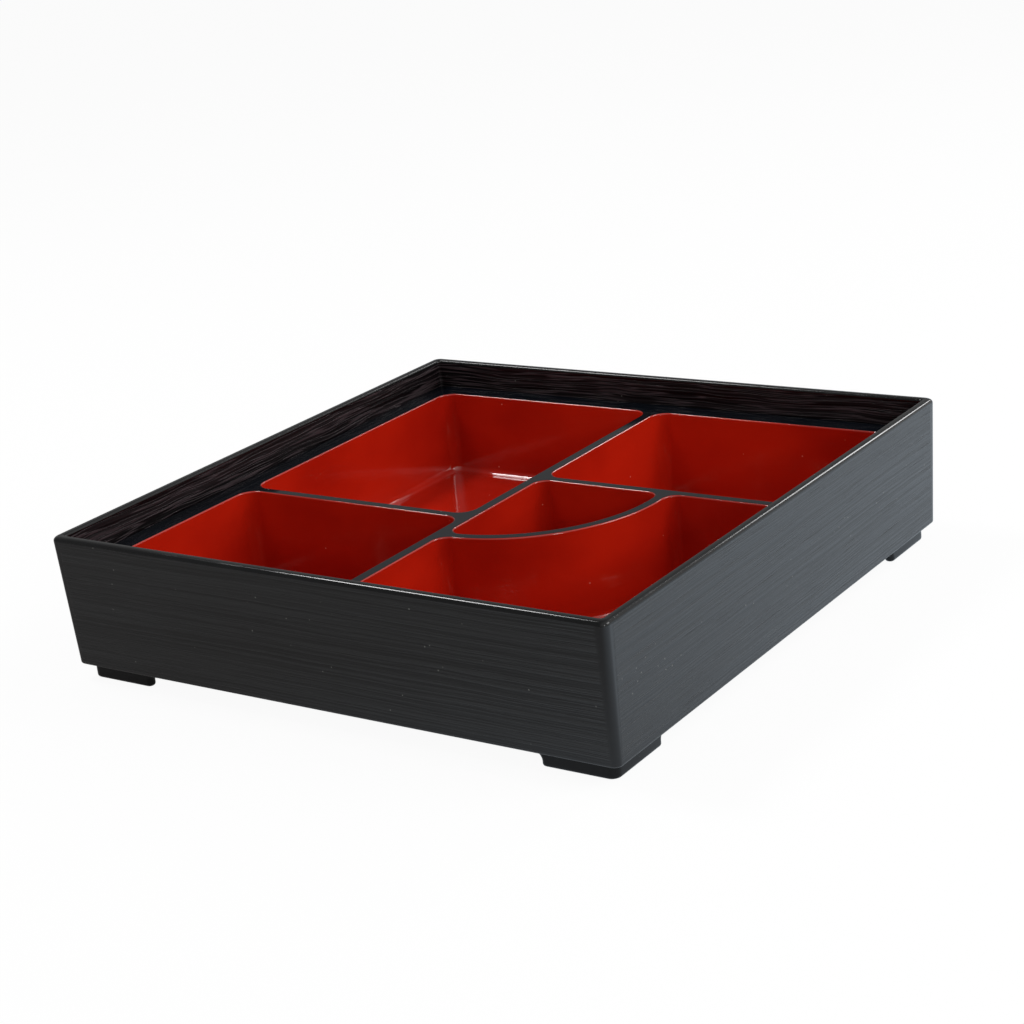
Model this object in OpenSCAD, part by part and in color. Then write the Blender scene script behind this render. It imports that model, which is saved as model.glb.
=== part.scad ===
// Square meal box of one tier: grained walls on four corner feet, with a lift-out tray of five pockets.
// Origin: centre of the plane that the feet stand on. +X to the right, +Y to the back, +Z up.

/* [Walls] */
// Outside width of the square box over its rim
rim_side = 273; // [255:1:303]
// Height of the walls from their bottom edge to the rim
wall_height = 57.5; // [54:0.5:70]
// Thickness of the walls
wall_thick = 4.2; // [3.6:0.1:5]
// How far each wall leans in from the rim to its bottom edge
wall_lean = 1.7; // [0.5:0.1:2.5]
// Rounding of the upright outer corners, seen from above
corner_r = 3; // [2.5:0.1:6]
// Rounding of the upright inner corners, seen from above
inner_corner_r = 1.6; // [0.5:0.1:3]
// Rounding of the rim's outer edge
rim_outer_round = 1.8; // [1:0.1:2]
// Rounding of the rim's inner edge
rim_inner_round = 1.2; // [0.4:0.1:1.4]
// Rounding of the walls' bottom edge
sole_round = 1; // [0.4:0.1:1.4]

/* [Base] */
// Thickness of the floor of the box
base_thick = 3; // [2:0.1:4]
// Depth of the rebate in the walls that the floor is glued into
rebate_depth = 1.1; // [0.6:0.1:1.6]
// Glue gap round the floor's edge
glue_gap = 0.1; // [0.05:0.01:0.2]

/* [Feet] */
// Height of the feet
foot_height = 7; // [5:0.1:10]
// Distance from the walls' bottom edge in to the outer face of a foot
foot_inset = 3.8; // [3:0.1:6]
// Thickness of a foot's legs
foot_thick = 4.5; // [3.6:0.1:6]
// Length of a foot's legs along the walls
foot_length = 33; // [20:0.5:50]
// Rounding of a foot's outer upright corner
foot_corner_r = 4; // [3:0.1:8]
// Rounding of a foot's bottom edges
foot_round = 1.2; // [0.4:0.1:1.6]
// Radius of the hollow curve where a leg's end runs out into the floor
foot_runout = 4.8; // [1:0.1:5]

/* [Tray] */
// Depth of the tray's top below the rim
tray_drop = 13; // [9:0.5:18]
// Gap all round between the tray's flange and the walls
tray_gap = 0.5; // [0.3:0.05:1]
// Thickness of the tray's flange
flange_thick = 2.2; // [1.6:0.1:3]
// Width of the flange round the pockets
flange_width = 10; // [6:0.5:14]
// Rounding of the flange's outer corners, seen from above
flange_corner_r = 3; // [2.5:0.1:6]
// Thickness of the pockets' walls
pocket_wall = 1.8; // [1.2:0.1:2.2]
// Thickness of the pockets' floors
pocket_floor = 2; // [1.5:0.1:3]
// How far a pocket's walls lean in from its lip to its floor
pocket_lean = 2.4; // [1:0.1:2.7]
// Rounding between a pocket's walls and its floor
floor_round = 3; // [1.5:0.1:3.3]
// Rounding of the pockets' lips
lip_round = 0.7; // [0.3:0.1:1]
// Rounding of the pockets' corners, seen from above
pocket_corner_r = 8; // [7:0.5:12]

/* [Dividers] */
// Width of the divider that runs from front to back
long_divider = 4; // [3:0.1:6]
// Width of the two dividers that run across
cross_divider = 3.4; // [3:0.1:6]
// Centre line of the left cross divider, measured back from the middle
left_split = -29.1; // [-60:0.5:60]
// Centre line of the right cross divider, measured back from the middle
right_split = 23.1; // [10:0.5:50]

/* [Curved pocket] */
// Radius of the small pocket's round edge
fan_r = 62; // [50:0.5:70]
// Straight run between the round edge and the cross divider
fan_straight = 8.4; // [7.5:0.1:20]
// Width of the curved divider round the small pocket
fan_divider = 3.5; // [3:0.1:6]
// Rounding of the small pocket's corners, and of those that face it
fan_corner_r = 6.5; // [6.2:0.1:7.4]

/* [Hidden] */

// Steps in a rounded edge, in a corner seen from above, and in the long curve
edge_steps = 3;
corner_steps = 5;
fan_steps = 18;
// How far a cut runs past the face that it opens
past = 1;
// The sharpest that an inset leaves a rounded corner
least_r = 0.1;
// Angle at which the hollow curve at a leg's end meets the floor
runout_turn = 80;

wall_bottom = foot_height;
rim_top = wall_bottom + wall_height;
rim_half = rim_side / 2;
sole_half = rim_half - wall_lean;
base_top = wall_bottom + base_thick;
tray_top = rim_top - tray_drop;
pocket_bottom = base_top + pocket_floor;

// Half the outside and the inside width of the walls at a height. They lean in below the rim's rounding.
shoulder = rim_top - rim_outer_round;
function outer_half(z) = rim_half - wall_lean * max(0, shoulder - z) / (shoulder - wall_bottom);
function inner_half(z) = outer_half(z) - wall_thick;

rebate_half = inner_half(base_top) + rebate_depth;
foot_face = sole_half - foot_inset;
flange_half = inner_half(tray_top - flange_thick) - tray_gap;
field_half = flange_half - flange_width;

// Outlines are lists of arcs [x, y, radius, first angle, last angle, steps], joined by straight lines and
// run anticlockwise. An inset shrinks the arcs that turn left and grows those that turn right.
function arc_points(a, inset) =
    let (side = a[4] > a[3] ? 1 : -1, r = max(least_r, a[2] - side * inset))
    [for (i = [0 : a[5]]) let (t = a[3] + (a[4] - a[3]) * i / a[5]) [a[0] + r * cos(t), a[1] + r * sin(t)]];
function outline(arcs, inset) = [for (a = arcs) each arc_points(a, inset)];
function ring(arcs, inset, z) = [for (p = outline(arcs, inset)) [p[0], p[1], z]];

// A rectangle with rounded corners
function box_arcs(x0, y0, x1, y1, r) = [
    [x1 - r, y0 + r, r, 270, 360, corner_steps],
    [x1 - r, y1 - r, r, 0, 90, corner_steps],
    [x0 + r, y1 - r, r, 90, 180, corner_steps],
    [x0 + r, y0 + r, r, 180, 270, corner_steps]
];
function square_ring(half, r, z) = ring(box_arcs(-half, -half, half, half, r), 0, z);

// A solid skinned over a stack of rings, from the lowest to the highest. Its two ends are closed by the
// polygons in caps, which are lists of ring points, run anticlockwise. By default that is the whole ring.
module stack(rings, caps = []) {
    n = len(rings[0]);
    m = len(rings);
    ends = len(caps) > 0 ? caps : [[for (i = [0 : n - 1]) i]];
    polyhedron(
        points = [for (r = rings) each r],
        faces = [
            each ends,
            for (k = [0 : m - 2], i = [0 : n - 1]) let (j = (i + 1) % n)
                [k * n + i, (k + 1) * n + i, (k + 1) * n + j, k * n + j],
            for (cap = ends) [for (i = [len(cap) - 1 : -1 : 0]) (m - 1) * n + cap[i]]
        ]);
}

// A solid over one outline at a list of levels [inset, height], from the lowest to the highest. An outline
// that only turns left is closed by a hull, and one with a hollow side is only skinned.
module pile(arcs, levels) {
    rings = [for (level = levels) ring(arcs, level[0], level[1])];
    if (min([for (a = arcs) a[4] - a[3]]) > 0) hull() stack(rings);
    else stack(rings);
}

// The same as a stack, but the last ring joins the first, which leaves the middle open
module hoop(rings) {
    n = len(rings[0]);
    m = len(rings);
    polyhedron(
        points = [for (r = rings) each r],
        faces = [
            for (k = [0 : m - 1], i = [0 : n - 1]) let (j = (i + 1) % n, u = (k + 1) % m)
                [k * n + i, u * n + i, u * n + j, k * n + j]
        ]);
}

// The four walls in one piece: up the outside, over the rim, down the inside and round the rebate
function wall_rings() =
    let (
        bead = rim_outer_round,
        bead_in = rim_inner_round,
        low = wall_bottom + sole_round,
        high = shoulder,
        high_in = rim_top - bead_in
    )
    concat(
        [for (i = [0 : edge_steps]) let (t = 90 * i / edge_steps)
            square_ring(outer_half(low) - sole_round * (1 - sin(t)), corner_r,
                        low - sole_round * cos(t))],
        [for (i = [0 : edge_steps]) let (t = 90 * i / edge_steps)
            square_ring(outer_half(high) - bead * (1 - cos(t)), corner_r, high + bead * sin(t))],
        [for (i = [0 : edge_steps]) let (t = 90 * i / edge_steps)
            square_ring(inner_half(high_in) + bead_in * (1 - sin(t)), inner_corner_r,
                        high_in + bead_in * cos(t))],
        [square_ring(inner_half(base_top), inner_corner_r, base_top),
         square_ring(rebate_half, inner_corner_r, base_top),
         square_ring(rebate_half, inner_corner_r, wall_bottom)]
    );

module wall_frame() {
    color([0.16, 0.165, 0.17]) hoop(wall_rings());
}

module base_panel() {
    half = rebate_half - glue_gap;
    straight = half - inner_corner_r;
    color([0.13, 0.13, 0.135])
    translate([0, 0, wall_bottom])
    linear_extrude(height = base_thick)
    union() {
        square([2 * half, 2 * straight], center = true);
        square([2 * straight, 2 * half], center = true);
        for (x = [-1, 1], y = [-1, 1])
            translate([x * straight, y * straight]) circle(r = inner_corner_r, $fn = 48);
    }
}

// Outline of a foot at the back right corner, with legs of a given length
function foot_arcs(length) =
    let (f = foot_face, s = foot_thick, e = foot_thick / 2, c = foot_corner_r)
    [
        [f - c, f - c, c, 0, 90, corner_steps],
        [f - length + e, f - e, e, 90, 270, 2 * corner_steps],
        [f - s - e, f - s - e, e, 90, 0, corner_steps],
        [f - e, f - length + e, e, 180, 360, 2 * corner_steps]
    ];

// Where the arcs of a foot's outline start in its list of points, and how its flat ends part into pieces
// with no hollow side: the two legs, and a strip round the corner between them
END_1 = corner_steps + 1;
INNER = END_1 + 2 * corner_steps + 1;
END_2 = INNER + corner_steps + 1;
FOOT_CAPS = [
    [for (i = [corner_steps : INNER]) i],
    [for (i = [END_2 - 1 : END_2 + 2 * corner_steps]) i, 0],
    for (i = [0 : corner_steps - 1]) [i, i + 1, END_2 - 2 - i, END_2 - 1 - i]
];

module corner_foot() {
    start = foot_height - foot_runout;
    color([0.13, 0.13, 0.135])
    stack(concat(
        [for (i = [0 : edge_steps]) let (t = 90 * i / edge_steps)
            ring(foot_arcs(foot_length), foot_round * (1 - sin(t)), foot_round * (1 - cos(t)))],
        [for (i = [0 : edge_steps]) let (t = runout_turn * i / edge_steps)
            ring(foot_arcs(foot_length + foot_runout * (1 - cos(t))), 0,
                 start + foot_runout * sin(t) / sin(runout_turn))]
    ), FOOT_CAPS);
}

module foot_front_left() {
    mirror([1, 0, 0]) mirror([0, 1, 0]) corner_foot();
}

module foot_front_right() {
    mirror([0, 1, 0]) corner_foot();
}

module foot_back_left() {
    mirror([1, 0, 0]) corner_foot();
}

module foot_back_right() {
    corner_foot();
}

// Edges of the pockets, seen from above at the tray's top
left_edge = -field_half;
right_edge = field_half;
front_edge = -field_half;
back_edge = field_half;
mid_left = -long_divider / 2;
mid_right = long_divider / 2;
left_low = left_split - cross_divider / 2;
left_high = left_split + cross_divider / 2;
right_low = right_split - cross_divider / 2;
right_high = right_split + cross_divider / 2;
// The small pocket's round edge and the divider's outer edge share this centre
fan_y = right_low - fan_straight;
fan_out = fan_r + fan_divider;

// The small pocket: a quarter round, whose tip is rounded against the long divider
function fan_arcs() =
    let (
        r = fan_corner_r,
        drop = sqrt(pow(fan_r - r, 2) - r * r),
        tip = 360 - atan2(drop, r)
    )
    [
        [mid_right, fan_y, fan_r, tip, 360, fan_steps],
        [mid_right + fan_r - r, right_low - r, r, 0, 90, corner_steps],
        [mid_right + r, right_low - r, r, 90, 180, corner_steps],
        [mid_right + r, fan_y - drop, r, 180, tip, corner_steps]
    ];

// The large pocket in front of it, hollowed along the curved divider
function hooked_arcs() =
    let (
        r = fan_corner_r,
        big = pocket_corner_r,
        drop = sqrt(pow(fan_out + r, 2) - r * r),
        tip = -atan2(drop, r)
    )
    [
        [right_edge - big, front_edge + big, big, 270, 360, corner_steps],
        [right_edge - big, right_low - big, big, 0, 90, corner_steps],
        [mid_right + fan_out + r, right_low - r, r, 90, 180, corner_steps],
        [mid_right, fan_y, fan_out, 0, tip, fan_steps],
        [mid_right + r, fan_y - drop, r, 180 + tip, 180, corner_steps],
        [mid_right + big, front_edge + big, big, 180, 270, corner_steps]
    ];

POCKETS = [
    box_arcs(left_edge, left_high, mid_left, back_edge, pocket_corner_r),
    box_arcs(left_edge, front_edge, mid_left, left_low, pocket_corner_r),
    box_arcs(mid_right, right_high, right_edge, back_edge, pocket_corner_r),
    fan_arcs(),
    hooked_arcs()
];

// The room inside one pocket: floor, rounding and leaning walls up to the lip
module pocket_room(arcs) {
    deep = lip_round + pocket_lean;
    pile(arcs, concat(
        [for (i = [0 : edge_steps]) let (t = 90 * i / edge_steps)
            [deep + floor_round * (1 - sin(t)), pocket_bottom + floor_round * (1 - cos(t))]],
        [[lip_round, tray_top - lip_round]]
    ));
}

// The rounded lip of one pocket, which opens the room at the top
module pocket_lip(arcs) {
    stack(concat(
        [for (i = [0 : edge_steps]) let (t = 90 * i / edge_steps)
            ring(arcs, lip_round * cos(t), tray_top - lip_round * (1 - sin(t)))],
        [ring(arcs, 0, tray_top + past)]
    ));
}

// The outside of one pocket, down to the floor of the box
module pocket_shell(arcs) {
    deep = lip_round + pocket_lean - pocket_wall;
    pile(arcs, concat(
        [for (i = [0 : edge_steps]) let (t = 90 * i / edge_steps)
            [deep + floor_round * (1 - sin(t)), base_top + floor_round * (1 - cos(t))]],
        [[lip_round - pocket_wall, tray_top - flange_thick / 2]]
    ));
}

// The flange that joins the pockets at the top
module flange() {
    hull()
    for (x = [-1, 1], y = [-1, 1])
        translate([x * (flange_half - flange_corner_r), y * (flange_half - flange_corner_r),
                   tray_top - flange_thick])
        cylinder(r = flange_corner_r, h = flange_thick, $fn = 32);
}

module compartment_tray() {
    color([0.55, 0.06, 0.03])
    difference() {
        union() {
            flange();
            for (arcs = POCKETS) pocket_shell(arcs);
        }
        for (arcs = POCKETS) {
            pocket_room(arcs);
            pocket_lip(arcs);
        }
    }
}

wall_frame();
base_panel();
foot_front_left();
foot_front_right();
foot_back_left();
foot_back_right();
compartment_tray();
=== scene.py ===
import math

import bpy
from mathutils import Matrix, Vector
from mathutils.geometry import tessellate_polygon


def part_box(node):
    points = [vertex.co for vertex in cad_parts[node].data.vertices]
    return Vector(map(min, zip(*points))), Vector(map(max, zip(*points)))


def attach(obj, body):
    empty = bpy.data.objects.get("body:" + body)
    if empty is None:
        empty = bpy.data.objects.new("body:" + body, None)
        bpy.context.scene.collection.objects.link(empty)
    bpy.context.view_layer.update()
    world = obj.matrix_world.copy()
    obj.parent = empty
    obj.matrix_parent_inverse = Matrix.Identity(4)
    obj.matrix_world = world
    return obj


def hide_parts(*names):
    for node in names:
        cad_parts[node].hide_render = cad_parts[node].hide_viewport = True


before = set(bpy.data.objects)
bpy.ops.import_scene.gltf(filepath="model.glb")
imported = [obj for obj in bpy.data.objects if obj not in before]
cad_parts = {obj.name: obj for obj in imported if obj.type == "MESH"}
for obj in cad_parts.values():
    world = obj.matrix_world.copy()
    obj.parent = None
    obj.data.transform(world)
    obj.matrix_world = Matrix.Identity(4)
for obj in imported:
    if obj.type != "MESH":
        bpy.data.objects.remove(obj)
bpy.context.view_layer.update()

# Sizes are in millimetres and the scene is in metres. What a node's box shows is read from it.
MM = 0.001
wall_low, wall_high = (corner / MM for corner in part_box("wall_frame"))
base_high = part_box("base_panel")[1] / MM
tray_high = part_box("compartment_tray")[1] / MM
foot_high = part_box("foot_back_right")[1] / MM

rim_half = wall_high.x
rim_top = wall_high.z
wall_bottom = wall_low.z
base_top = base_high.z
tray_top = tray_high.z
flange_half = tray_high.x
foot_face = foot_high.x

# Walls
wall_thick = 4.2
wall_lean = 1.7
corner_r = 3
inner_corner_r = 1.6
rim_outer_round = 1.8
rim_inner_round = 1.2
sole_round = 1
rebate_depth = 1.1
shoulder = rim_top - rim_outer_round

# Feet
foot_thick = 4.5
foot_length = 33
foot_corner_r = 4
foot_round = 1.2
foot_runout = 4.8
# The hollow curve at a leg's end is part of a quarter of an ellipse. These are the quarter's length along
# the wall and how many degrees of it are used.
foot_sweep = 7.5
runout_turn = 80

# Tray
flange_thick = 2.2
flange_width = 10
flange_corner_r = 3
flange_edge_round = 0.4
pocket_wall = 1.8
pocket_floor = 2
pocket_lean = 2.4
floor_round = 3
lip_round = 0.7
pocket_corner_r = 8
long_divider = 4
cross_divider = 3.4
left_split = -29.1
right_split = 23.1
fan_r = 62
fan_straight = 8.4
fan_divider = 3.5
fan_corner_r = 6.5
pocket_bottom = base_top + pocket_floor
field_half = flange_half - flange_width

# Steps in a rounded edge, in a corner seen from above, and in the long curve
edge_steps = 6
corner_steps = 12
fan_steps = 72
# Width of the narrow strip that keeps a flat face flat beside a rounding
hold = 0.3
# How far the pockets' walls lean in over such a strip, in each millimetre down
strip_lean = 0.06
# The sharpest that an inset leaves a rounded corner
least_r = 0.1
# Edges that turn by more than this stay crisp
crisp_turn = math.radians(35)


# Camera, fitted to the corners of the rim and the feet. The lens is 0.9% longer than the fitted one,
# because the fit took the corners as sharp and they are rounded. Distances are in metres, and the lens
# and the sensor in millimetres.
rim_centre = Vector((0, 0, rim_top * MM))
view_azimuth = math.radians(36.484)
view_height = math.radians(18.974)
view_roll = math.radians(-6.370)
view_distance = 0.9515
slide_right = 0.00304
slide_up = -0.01999
lens = 78.353
sensor_width = 36
nearest = 0.01


def make_camera():
    """The camera at the photograph's viewing angle."""
    back = Vector((
        math.sin(view_azimuth) * math.cos(view_height),
        -math.cos(view_azimuth) * math.cos(view_height),
        math.sin(view_height),
    ))
    level = Vector((0, 0, 1)).cross(back).normalized()
    upright = back.cross(level)
    right = math.cos(view_roll) * level + math.sin(view_roll) * upright
    up = math.cos(view_roll) * upright - math.sin(view_roll) * level
    eye = rim_centre + view_distance * back + slide_right * right + slide_up * up
    data = bpy.data.cameras.new("camera")
    data.lens = lens
    data.sensor_fit = "HORIZONTAL"
    data.sensor_width = sensor_width
    data.clip_start = nearest
    made = bpy.data.objects.new("camera", data)
    made.matrix_world = Matrix((right, up, back)).transposed().to_4x4()
    made.location = eye
    bpy.context.scene.collection.objects.link(made)
    bpy.context.scene.camera = made
    bpy.context.scene.view_settings.view_transform = "Standard"


# A speck is whole out to this share of its size and fades out from there
speck_core = 0.6
# Cells of the pattern have a speck where their random number passes from the first to the second of these
speck_chance = (0.94, 0.96)


class Wire:
    """A socket that Python's operators join up with Math nodes."""

    def __init__(self, graph, socket):
        self.graph = graph
        self.socket = socket

    def maths(self, operation, *values):
        return self.graph.node("ShaderNodeMath", {"operation": operation}, dict(enumerate(values)))

    def __add__(self, other):
        return self.maths("ADD", self, other)

    def __radd__(self, other):
        return self.maths("ADD", other, self)

    def __sub__(self, other):
        return self.maths("SUBTRACT", self, other)

    def __rsub__(self, other):
        return self.maths("SUBTRACT", other, self)

    def __mul__(self, other):
        return self.maths("MULTIPLY", self, other)

    def __rmul__(self, other):
        return self.maths("MULTIPLY", other, self)

    def __abs__(self):
        return self.maths("ABSOLUTE", self)

    def least(self, other):
        return self.maths("MINIMUM", self, other)

    def most(self, other):
        return self.maths("MAXIMUM", self, other)

    def rise(self, low, high):
        """Turns smoothly from 0 at low to 1 at high."""
        return self.graph.node(
            "ShaderNodeMapRange",
            {"interpolation_type": "SMOOTHSTEP"},
            {"Value": self, "From Min": low, "From Max": high},
        )


class Graph:
    """The nodes of one material or of the world."""

    def __init__(self, owner):
        owner.use_nodes = True
        self.owner = owner
        self.tree = owner.node_tree

    def feed(self, socket, value):
        if isinstance(value, Wire):
            self.tree.links.new(value.socket, socket)
        elif socket.type == "RGBA":
            socket.default_value = (*value, 1)
        else:
            socket.default_value = value

    def node(self, kind, settings=None, inputs=None, output=0):
        made = self.tree.nodes.new(kind)
        for name, value in (settings or {}).items():
            setattr(made, name, value)
        for name, value in (inputs or {}).items():
            self.feed(made.inputs[name], value)
        return Wire(self, made.outputs[output])

    def place(self):
        """Where a point of the object is, in metres."""
        return self.node("ShaderNodeTexCoord", output="Object")

    def parts(self, vector):
        first = self.node("ShaderNodeSeparateXYZ", inputs={0: vector})
        return [Wire(self, socket) for socket in first.socket.node.outputs]

    def vector(self, x, y, z):
        return self.node("ShaderNodeCombineXYZ", inputs={0: x, 1: y, 2: z})

    def noise(self, where, stretch, detail, rough=0.5):
        """Noise from 0 to 1, with this many waves in a metre along x, y and z."""
        spot = self.node("ShaderNodeVectorMath", {"operation": "MULTIPLY"}, {0: where, 1: stretch})
        sockets = {"Vector": spot, "Scale": 1, "Detail": detail, "Roughness": rough}
        return self.node("ShaderNodeTexNoise", inputs=sockets, output="Fac")

    def dots(self, where, density, size):
        """Round specks in a pattern of this many cells in a metre, of a size in shares of a cell."""
        sockets = {"Vector": where, "Scale": density}
        near = self.node("ShaderNodeTexVoronoi", inputs=sockets, output="Distance")
        chance = Wire(self, near.socket.node.outputs["Color"])
        red = self.node("ShaderNodeSeparateColor", inputs={0: chance})
        return (1 - near.rise(size * speck_core, size)) * red.rise(*speck_chance)

    def mix(self, share, first, second):
        sockets = {0: share, 6: first, 7: second}
        return self.node("ShaderNodeMix", {"data_type": "RGBA"}, sockets, 2)

    def bump(self, height, depth):
        """A relief of this depth in metres."""
        sockets = {"Height": height, "Distance": depth, "Strength": 1}
        return self.node("ShaderNodeBump", inputs=sockets)

    def surface(self, **sockets):
        """Sets the Principled shader's sockets, with spaces for the underscores in their names."""
        shader = self.tree.nodes["Principled BSDF"]
        for name, value in sockets.items():
            self.feed(shader.inputs[name.replace("_", " ")], value)
        return self.owner


# Waves in a metre along x, y and z, first in the grain
sway_waves = (16, 16, 40)
line_waves = (5, 5, 1100)
hair_waves = (16, 16, 560)
broad_waves = (5, 5, 420)
pore_waves = (30, 30, 1500)
# In the smooth lacquers
peel_waves = (420, 420, 420)
rubbed_waves = (32, 32, 32)
scratch_waves = (35, 900, 300)
# In the pockets' lacquer
ripple_waves = (42, 42, 30)
bend_waves = (30, 30, 60)
flow_waves = (25, 25, 420)
fine_peel_waves = (500, 500, 500)
fine_scratch_waves = (60, 60, 1500)
cloud_waves = (14, 14, 20)
# Depths of relief, in metres
grain_depth = 0.0002
peel_depth = 0.00003
ripple_depth = 0.0003
# How far the flow lines in the pockets sway up and down, in metres
flow_sway = 0.02
# How much lighter a rubbed patch is than its lacquer
rubbed_lift = 1.7
# The grain fades out between these distances from the rim's outside faces, so upright corners are smooth
grain_fades = 5.5
grain_ends = 3.8
grain_dust = (0.12, 0.12, 0.11)
smooth_dust = (0.2, 0.2, 0.2)
pocket_dust = (0.75, 0.3, 0.26)


def brushed_grain(name, ripple, dark, light, roughness, hairs, level):
    """Black lacquer over raised wood grain: long fine lines, pores, and smooth upright corners.

    The lines sway over ripple metres, and hairs is the share of crinkled lines among them.
    """
    graph = Graph(bpy.data.materials.new(name))
    where = graph.place()
    x, y, z = graph.parts(where)
    sway = graph.noise(where, sway_waves, detail=2)
    lines = graph.vector(x, y, z + (sway - 0.5) * ripple)
    fine = graph.noise(lines, line_waves, detail=2, rough=0.6)
    hair = 1 - abs(graph.noise(lines, hair_waves, detail=2) * 2 - 1)
    crinkle = hair.rise(0.9, 1)
    broad = graph.noise(lines, broad_waves, detail=2)
    pores = graph.noise(lines, pore_waves, detail=1).rise(0.62, 0.74)
    along = abs(x).least(abs(y))
    corner = along.rise((rim_half - grain_fades) * MM, (rim_half - grain_ends) * MM)
    open_face = 1 - corner
    specks = graph.dots(where, density=420, size=0.16) * open_face
    grain = fine.rise(0.36, 0.66) * open_face
    relief = (grain * 0.5 + broad * 0.1 + crinkle * hairs * 0.6 - pores * 0.4) * open_face
    colour = graph.mix(grain * (1 - hairs) + crinkle * hairs * open_face, dark, light)
    return graph.surface(
        Base_Color=graph.mix(specks, colour, grain_dust),
        Roughness=roughness + grain * 0.1 + pores * 0.12 - corner * 0.06,
        Normal=graph.bump(relief, grain_depth),
        Specular_IOR_Level=level,
    )


def smooth_lacquer(name, colour, roughness, level):
    """Smooth lacquer with a faint orange peel, hairline scratches, rubbed patches and a few specks."""
    graph = Graph(bpy.data.materials.new(name))
    where = graph.place()
    peel = graph.noise(where, peel_waves, detail=2)
    rubbed = graph.noise(where, rubbed_waves, detail=4, rough=0.6).rise(0.45, 0.7)
    scratch = graph.noise(where, scratch_waves, detail=2).rise(0.66, 0.72)
    lighter = tuple(rubbed_lift * part for part in colour)
    specks = graph.dots(where, density=260, size=0.1)
    tint = graph.mix(rubbed * 0.5 + scratch * 0.2, colour, lighter)
    return graph.surface(
        Base_Color=graph.mix(specks * 0.6, tint, smooth_dust),
        Roughness=roughness + rubbed * 0.07 + scratch * 0.08,
        Normal=graph.bump(peel * 0.5 - scratch * 0.2, peel_depth),
        Specular_IOR_Level=level,
    )


def pocket_lacquer(name, deep, bright):
    """Glossy red lacquer: slow ripples, flow lines, fine scratches and a few dust specks."""
    graph = Graph(bpy.data.materials.new(name))
    where = graph.place()
    x, y, z = graph.parts(where)
    ripple = graph.noise(where, ripple_waves, detail=2)
    bend = graph.noise(where, bend_waves, detail=2)
    flow = graph.noise(graph.vector(x, y, z + (bend - 0.5) * flow_sway), flow_waves, detail=3)
    peel = graph.noise(where, fine_peel_waves, detail=1)
    scratch = graph.noise(where, fine_scratch_waves, detail=2).rise(0.68, 0.74)
    cloud = graph.noise(where, cloud_waves, detail=3)
    specks = graph.dots(where, density=230, size=0.11)
    tint = graph.mix(cloud.rise(0.3, 0.7), deep, bright)
    height = ripple * 0.8 + flow * 0.25 + peel * 0.03 - scratch * 0.03
    return graph.surface(
        Base_Color=graph.mix(specks * 0.4, tint, pocket_dust),
        Roughness=0.07 + cloud * 0.03 + scratch * 0.12,
        Normal=graph.bump(height, ripple_depth),
        Specular_IOR_Level=0.4,
        Coat_Weight=0.35,
        Coat_Roughness=0.03,
    )


def outline(arcs, inset):
    """Points of arcs (x, y, radius, first angle, last angle, steps), which straight lines join."""
    points = []
    for x, y, radius, first, last, steps in arcs:
        side = 1 if last > first else -1
        r = max(least_r, radius - side * inset)
        for i in range(steps + 1):
            t = math.radians(first + (last - first) * i / steps)
            points.append((x + r * math.cos(t), y + r * math.sin(t)))
    return points


def box_arcs(x0, y0, x1, y1, r):
    """A rectangle with rounded corners."""
    return [
        (x1 - r, y0 + r, r, 270, 360, corner_steps),
        (x1 - r, y1 - r, r, 0, 90, corner_steps),
        (x0 + r, y1 - r, r, 90, 180, corner_steps),
        (x0 + r, y0 + r, r, 180, 270, corner_steps),
    ]


def quarter(turn=90):
    """(sine, cosine) of the steps of a rounded edge."""
    angles = [math.radians(turn * i / edge_steps) for i in range(edge_steps + 1)]
    return [(math.sin(t), math.cos(t)) for t in angles]


class Skin:
    """A mesh put together from rings of points that run anticlockwise, seen from above."""

    def __init__(self):
        self.points = []
        self.faces = []
        self.slots = []

    def ring(self, arcs, inset, z, mirror=(1, 1)):
        first = len(self.points)
        flat = outline(arcs, inset)
        self.points += [(x * mirror[0] * MM, y * mirror[1] * MM, z * MM) for x, y in flat]
        made = list(range(first, len(self.points)))
        return made if mirror[0] == mirror[1] else made[::-1]

    def face(self, corners, slot):
        self.faces.append(corners)
        self.slots.append(slot)

    def band(self, ring, following, slot=0):
        """Faces from one ring to the next. Up the outside and down the inside, they face out."""
        count = len(ring)
        for i in range(count):
            j = (i + 1) % count
            self.face((ring[i], ring[j], following[j], following[i]), slot)

    def bands(self, rings, slot=0):
        for ring, following in zip(rings, rings[1:]):
            self.band(ring, following, slot)

    def sheet(self, ring, holes, up, slot=0):
        """A flat face with holes that looks up or down."""
        loops = [ring, *holes]
        numbers = [index for loop in loops for index in loop]
        flat = [[Vector(self.points[index]) for index in loop] for loop in loops]
        for a, b, c in tessellate_polygon(flat):
            corners = (numbers[a], numbers[b], numbers[c])
            p, q, r = (Vector(self.points[index]) for index in corners)
            looks_up = (q - p).cross(r - p).z > 0
            self.face(corners if looks_up == up else corners[::-1], slot)

    def piece(self, name, body, node, materials):
        """Makes the finished piece, which rides on a body and stands for a node."""
        mesh = bpy.data.meshes.new(name)
        mesh.from_pydata(self.points, [], self.faces)
        for material in materials:
            mesh.materials.append(material)
        mesh.polygons.foreach_set("material_index", self.slots)
        mesh.shade_smooth()
        mesh.set_sharp_from_angle(angle=crisp_turn)
        made = bpy.data.objects.new(name, mesh)
        bpy.context.scene.collection.objects.link(made)
        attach(made, body)
        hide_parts(node)


def outer_half(z):
    """Half the outside width of the walls at a height."""
    return rim_half - wall_lean * max(0, shoulder - z) / (shoulder - wall_bottom)


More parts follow.
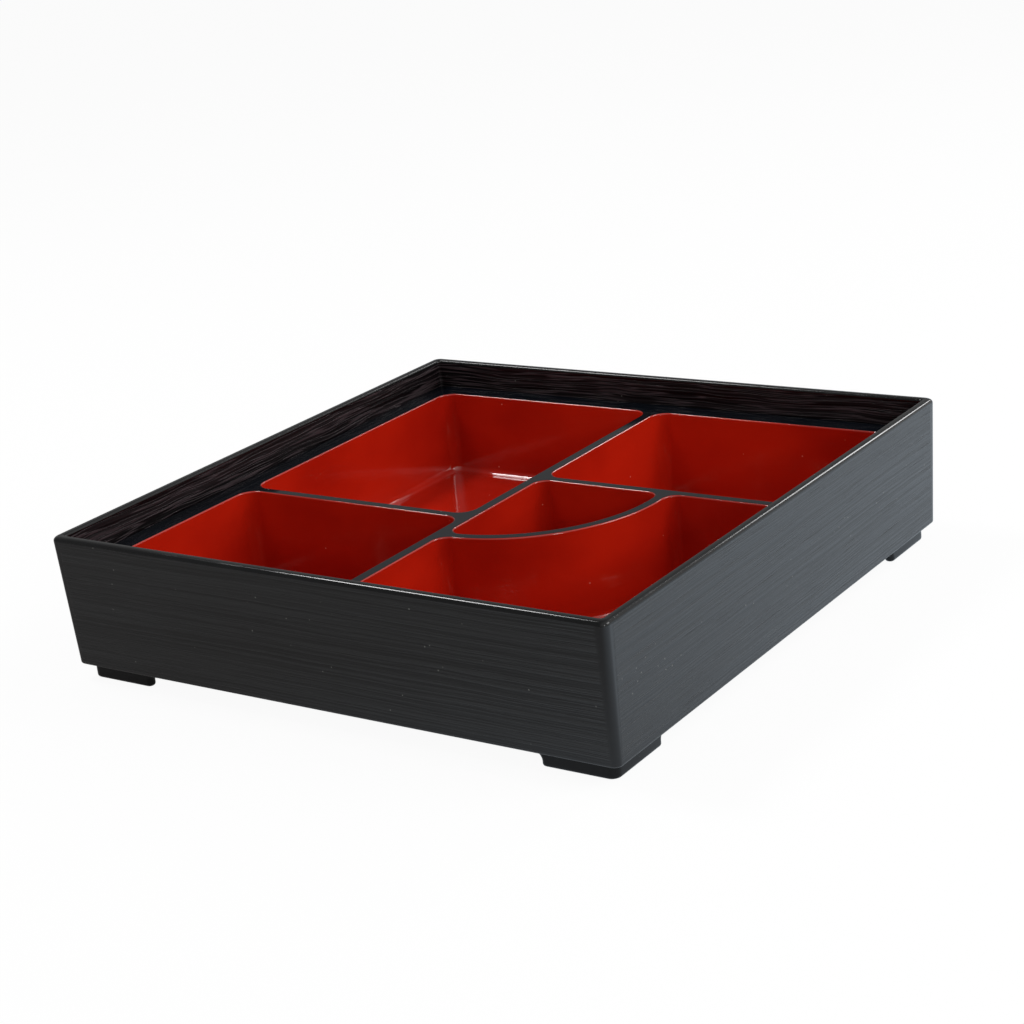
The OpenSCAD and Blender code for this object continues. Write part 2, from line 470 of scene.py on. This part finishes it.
def make_walls(grained, rim, inside):
    """The four walls in one: up the outside, over the rim, down the inside and round the rebate."""
    skin = Skin()
    outer_slot, smooth_slot, inner_slot = range(3)
    low = wall_bottom + sole_round
    high_in = rim_top - rim_inner_round
    inner = [outer_half(z) - wall_thick for z in (high_in, base_top)]
    rebate = inner[1] + rebate_depth

    def square(half, r, z):
        return skin.ring(box_arcs(-half, -half, half, half, r), 0, z)

    sole = [
        square(outer_half(low) - sole_round * (1 - s), corner_r, low - sole_round * c)
        for s, c in quarter()
    ]
    above_sole = square(outer_half(low + hold), corner_r, low + hold)
    below_rim = square(outer_half(shoulder - hold), corner_r, shoulder - hold)
    rim_out = [
        square(outer_half(shoulder) - rim_outer_round * (1 - c), corner_r,
               shoulder + rim_outer_round * s)
        for s, c in quarter()
    ]
    rim_in = [
        square(inner[0] + rim_inner_round * (1 - s), inner_corner_r, high_in + rim_inner_round * c)
        for s, c in quarter()
    ]
    inside_top = square(inner[0], inner_corner_r, high_in - hold)
    foot_of_wall = square(inner[1], inner_corner_r, base_top)
    ledge = square(rebate, inner_corner_r, base_top)
    skirt = square(rebate, inner_corner_r, wall_bottom)
    skin.bands([*sole, above_sole, below_rim, rim_out[0]], outer_slot)
    skin.bands([*rim_out, *rim_in, inside_top], smooth_slot)
    skin.bands([inside_top, foot_of_wall], inner_slot)
    skin.bands([foot_of_wall, ledge, skirt, sole[0]], smooth_slot)
    skin.piece("walls", "box", "wall_frame", [grained, rim, inside])


def foot_arcs(length):
    """Outline of a foot at the back right corner, with legs of a given length."""
    f, s, e, c = foot_face, foot_thick, foot_thick / 2, foot_corner_r
    return [
        (f - c, f - c, c, 0, 90, corner_steps),
        (f - length + e, f - e, e, 90, 270, corner_steps),
        (f - s - e, f - s - e, e, 90, 0, corner_steps),
        (f - e, f - length + e, e, 180, 360, corner_steps),
    ]


def make_foot(name, mirror, material):
    """An angled foot with rounded bottom edges. Its ends rise to the walls in a hollow curve."""
    skin = Skin()
    start = wall_bottom - foot_runout
    steepest = math.sin(math.radians(runout_turn))
    rings = [
        skin.ring(foot_arcs(foot_length), foot_round * (1 - s), foot_round * (1 - c), mirror)
        for s, c in quarter()
    ]
    rings += [
        skin.ring(foot_arcs(foot_length + foot_sweep * (1 - c)), 0,
                  start + foot_runout * s / steepest, mirror)
        for s, c in quarter(turn=runout_turn)
    ]
    skin.bands(rings)
    skin.sheet(rings[0], [], up=False)
    skin.sheet(rings[-1], [], up=True)
    skin.piece(name + "_moulding", "box", name, [material])


# Edges of the pockets, seen from above at the tray's top
mid = long_divider / 2
left_low = left_split - cross_divider / 2
left_high = left_split + cross_divider / 2
right_low = right_split - cross_divider / 2
right_high = right_split + cross_divider / 2
# The small pocket's round edge and the divider's outer edge share this centre
fan_y = right_low - fan_straight
fan_out = fan_r + fan_divider


def fan_arcs():
    """The small pocket: a quarter round, whose tip is rounded against the long divider."""
    r = fan_corner_r
    drop = math.sqrt((fan_r - r) ** 2 - r * r)
    tip = 360 - math.degrees(math.atan2(drop, r))
    return [
        (mid, fan_y, fan_r, tip, 360, fan_steps),
        (mid + fan_r - r, right_low - r, r, 0, 90, corner_steps),
        (mid + r, right_low - r, r, 90, 180, corner_steps),
        (mid + r, fan_y - drop, r, 180, tip, corner_steps),
    ]


def hooked_arcs():
    """The large pocket in front of it, hollowed along the curved divider."""
    r = fan_corner_r
    big = pocket_corner_r
    drop = math.sqrt((fan_out + r) ** 2 - r * r)
    tip = -math.degrees(math.atan2(drop, r))
    edge = field_half
    return [
        (edge - big, big - edge, big, 270, 360, corner_steps),
        (edge - big, right_low - big, big, 0, 90, corner_steps),
        (mid + fan_out + r, right_low - r, r, 90, 180, corner_steps),
        (mid, fan_y, fan_out, 0, tip, fan_steps),
        (mid + r, fan_y - drop, r, 180 + tip, 180, corner_steps),
        (mid + big, big - edge, big, 180, 270, corner_steps),
    ]


def make_tray(black, edge, red):
    """The lift-out tray: a black top with five red pockets, in one moulding."""
    skin = Skin()
    top_slot, edge_slot, pocket_slot = range(3)
    pockets = [
        box_arcs(-field_half, left_high, -mid, field_half, pocket_corner_r),
        box_arcs(-field_half, -field_half, -mid, left_low, pocket_corner_r),
        box_arcs(mid, right_high, field_half, field_half, pocket_corner_r),
        fan_arcs(),
        hooked_arcs(),
    ]
    deep = lip_round + pocket_lean
    deep_out = deep - pocket_wall
    under = tray_top - flange_thick
    wall_start = base_top + floor_round
    share = (under - wall_start) / (tray_top - flange_thick / 2 - wall_start)
    under_inset = deep_out + (lip_round - pocket_wall - deep_out) * share
    lips = []
    collars = []
    for arcs in pockets:
        flat_edge = skin.ring(arcs, -hold, tray_top)
        lip = [
            skin.ring(arcs, lip_round * s, tray_top - lip_round * (1 - c))
            for s, c in quarter()
        ]
        below_lip = skin.ring(arcs, lip_round + hold * strip_lean, tray_top - lip_round - hold)
        above_floor = skin.ring(arcs, deep - hold * strip_lean, pocket_bottom + floor_round + hold)
        rounding = [
            skin.ring(arcs, deep + floor_round * (1 - s), pocket_bottom + floor_round * (1 - c))
            for s, c in reversed(quarter())
        ]
        floor_edge = skin.ring(arcs, deep + floor_round + hold, pocket_bottom)
        # The first step of the lip is black, the second is rubbed and the rest are red
        skin.bands([flat_edge, *lip[:2]], top_slot)
        skin.bands(lip[1:3], edge_slot)
        skin.bands([*lip[2:], below_lip, above_floor, *rounding, floor_edge], pocket_slot)
        skin.sheet(floor_edge, [], up=True, slot=pocket_slot)
        shell = [
            skin.ring(arcs, deep_out + floor_round * (1 - s), base_top + floor_round * (1 - c))
            for s, c in quarter()
        ]
        shell.append(skin.ring(arcs, under_inset, under))
        skin.sheet(shell[0], [], up=False, slot=pocket_slot)
        skin.bands(shell, pocket_slot)
        lips.append(flat_edge)
        collars.append(shell[-1])
    square = box_arcs(-flange_half, -flange_half, flange_half, flange_half, flange_corner_r)
    rim = [skin.ring(square, 0, under), skin.ring(square, 0, tray_top - flange_edge_round)]
    rim += [
        skin.ring(square, flange_edge_round * (1 - c), tray_top - flange_edge_round * (1 - s))
        for s, c in quarter()[1:]
    ]
    rim.append(skin.ring(square, flange_edge_round + hold, tray_top))
    skin.bands(rim, top_slot)
    skin.sheet(rim[-1], lips, up=True, slot=top_slot)
    skin.sheet(rim[0], collars, up=False, slot=pocket_slot)
    skin.piece("tray", "tray", "compartment_tray", [black, edge, red])


# Level of the world's light on matt surfaces. Where the world is seen, it is white.
world_level = 0.38
# Level of the world in mirrored rays on the left. It rises to white between these x of its direction.
mirror_dim = 0.3
world_turn = (-0.35, 0.45)
# How far the floor gives up its own shade for a plain colour, where it is seen or mirrored
floor_lift = 0.94
floor_reach = 6
# Colour of the floor in mirrored rays: dim at the front left, and bright and a little blue at the back
# right. It turns between these sums of x and y, in metres.
floor_dim = (0.32, 0.31, 0.31)
floor_bright = (1.1, 1.25, 1.4)
floor_turn = (-0.25, 0.25)


def rays(graph):
    """Masks of the rays that look at something, and of those that mirror it or pass through it."""
    camera_ray = graph.node("ShaderNodeLightPath", output="Is Camera Ray")
    outputs = camera_ray.socket.node.outputs
    glossy = Wire(graph, outputs["Is Glossy Ray"])
    through = Wire(graph, outputs["Is Transmission Ray"])
    return camera_ray, glossy.most(through)


def make_world():
    """White where it is seen, graded where it is mirrored, and dimmer as light."""
    world = bpy.data.worlds.new("studio")
    graph = Graph(world)
    background = graph.tree.nodes["Background"]
    background.inputs["Color"].default_value = (1, 1, 1, 1)
    look, mirror = rays(graph)
    x = graph.parts(graph.node("ShaderNodeTexCoord", output="Generated"))[0]
    mirrored = mirror * (mirror_dim + x.rise(*world_turn) * (1 - mirror_dim))
    unseen = (1 - look) * (1 - mirror) * world_level
    graph.feed(background.inputs["Strength"], look + mirrored + unseen)
    bpy.context.scene.world = world


def make_floor():
    """A floor that looks plain white, keeps the object's soft shadow and is graded where mirrored."""
    graph = Graph(bpy.data.materials.new("floor_paper"))
    paper = graph.surface(Base_Color=(0.9, 0.9, 0.9), Roughness=0.9, Specular_IOR_Level=0.1)
    nodes = graph.tree.nodes
    look, mirror = rays(graph)
    x, y = graph.parts(graph.place())[:2]
    mirrored = graph.mix((x + y).rise(*floor_turn), floor_dim, floor_bright)
    tint = graph.mix(mirror, (1, 1, 1), mirrored)
    plain = graph.node("ShaderNodeEmission", inputs={"Color": tint, "Strength": 1})
    lit = Wire(graph, nodes["Principled BSDF"].outputs[0])
    share = look.most(mirror) * floor_lift
    mixed = graph.node("ShaderNodeMixShader", inputs={0: share, 1: lit, 2: plain})
    graph.tree.links.new(mixed.socket, nodes["Material Output"].inputs["Surface"])
    mesh = bpy.data.meshes.new("floor")
    sides = (-floor_reach, floor_reach)
    corners = [(across, back, 0) for back in sides for across in sides]
    mesh.from_pydata(corners, [], [(0, 1, 3, 2)])
    mesh.materials.append(paper)
    floor = bpy.data.objects.new("floor", mesh)
    bpy.context.scene.collection.objects.link(floor)


def lamp(name, place, size, power):
    """A square soft box that faces the middle of the object."""
    data = bpy.data.lights.new(name, "AREA")
    data.size = size
    data.energy = power
    made = bpy.data.objects.new(name, data)
    made.location = place
    made.rotation_euler = Vector(place).to_track_quat("Z", "Y").to_euler()
    bpy.context.scene.collection.objects.link(made)


make_camera()
make_world()
make_floor()
lamp("overhead_lamp", (-0.75, -0.1, 1.2), size=0.3, power=8)
lamp("right_lamp", (1.1, 0.35, 0.85), size=0.75, power=10)
lamp("back_lamp", (0.4, 1.3, 0.8), size=0.32, power=4)
lamp("front_lamp", (1.0, -0.74, 0.46), size=0.14, power=2)

wall_black = brushed_grain(
    "grained_wall",
    ripple=0.002,
    dark=(0.004, 0.004, 0.0042),
    light=(0.015, 0.0155, 0.016),
    roughness=0.36,
    hairs=0.2,
    level=0.42,
)
inner_black = brushed_grain(
    "grained_inside",
    ripple=0.006,
    dark=(0.001, 0.0004, 0.0007),
    light=(0.05, 0.036, 0.04),
    roughness=0.3,
    hairs=0.8,
    level=0.12,
)
rim_black = smooth_lacquer("smooth_rim", (0.004, 0.0043, 0.0046), roughness=0.12, level=0.3)
top_black = smooth_lacquer("smooth_top", (0.002, 0.003, 0.005), roughness=0.08, level=0.16)
foot_black = smooth_lacquer("smooth_foot", (0.006, 0.006, 0.006), roughness=0.3, level=0.16)
edge_brown = smooth_lacquer("rubbed_edge", (0.10, 0.02, 0.012), roughness=0.07, level=0.6)
pocket_red = pocket_lacquer(
    "pocket_red", deep=(0.32, 0.0075, 0.0025), bright=(0.45, 0.013, 0.0035))

make_walls(wall_black, rim_black, inner_black)
for front_back, side_y in (("front", -1), ("back", 1)):
    for left_right, side_x in (("left", -1), ("right", 1)):
        make_foot(f"foot_{front_back}_{left_right}", (side_x, side_y), foot_black)
make_tray(top_black, edge_brown, pocket_red)
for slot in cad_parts["base_panel"].material_slots:
    slot.material = foot_black
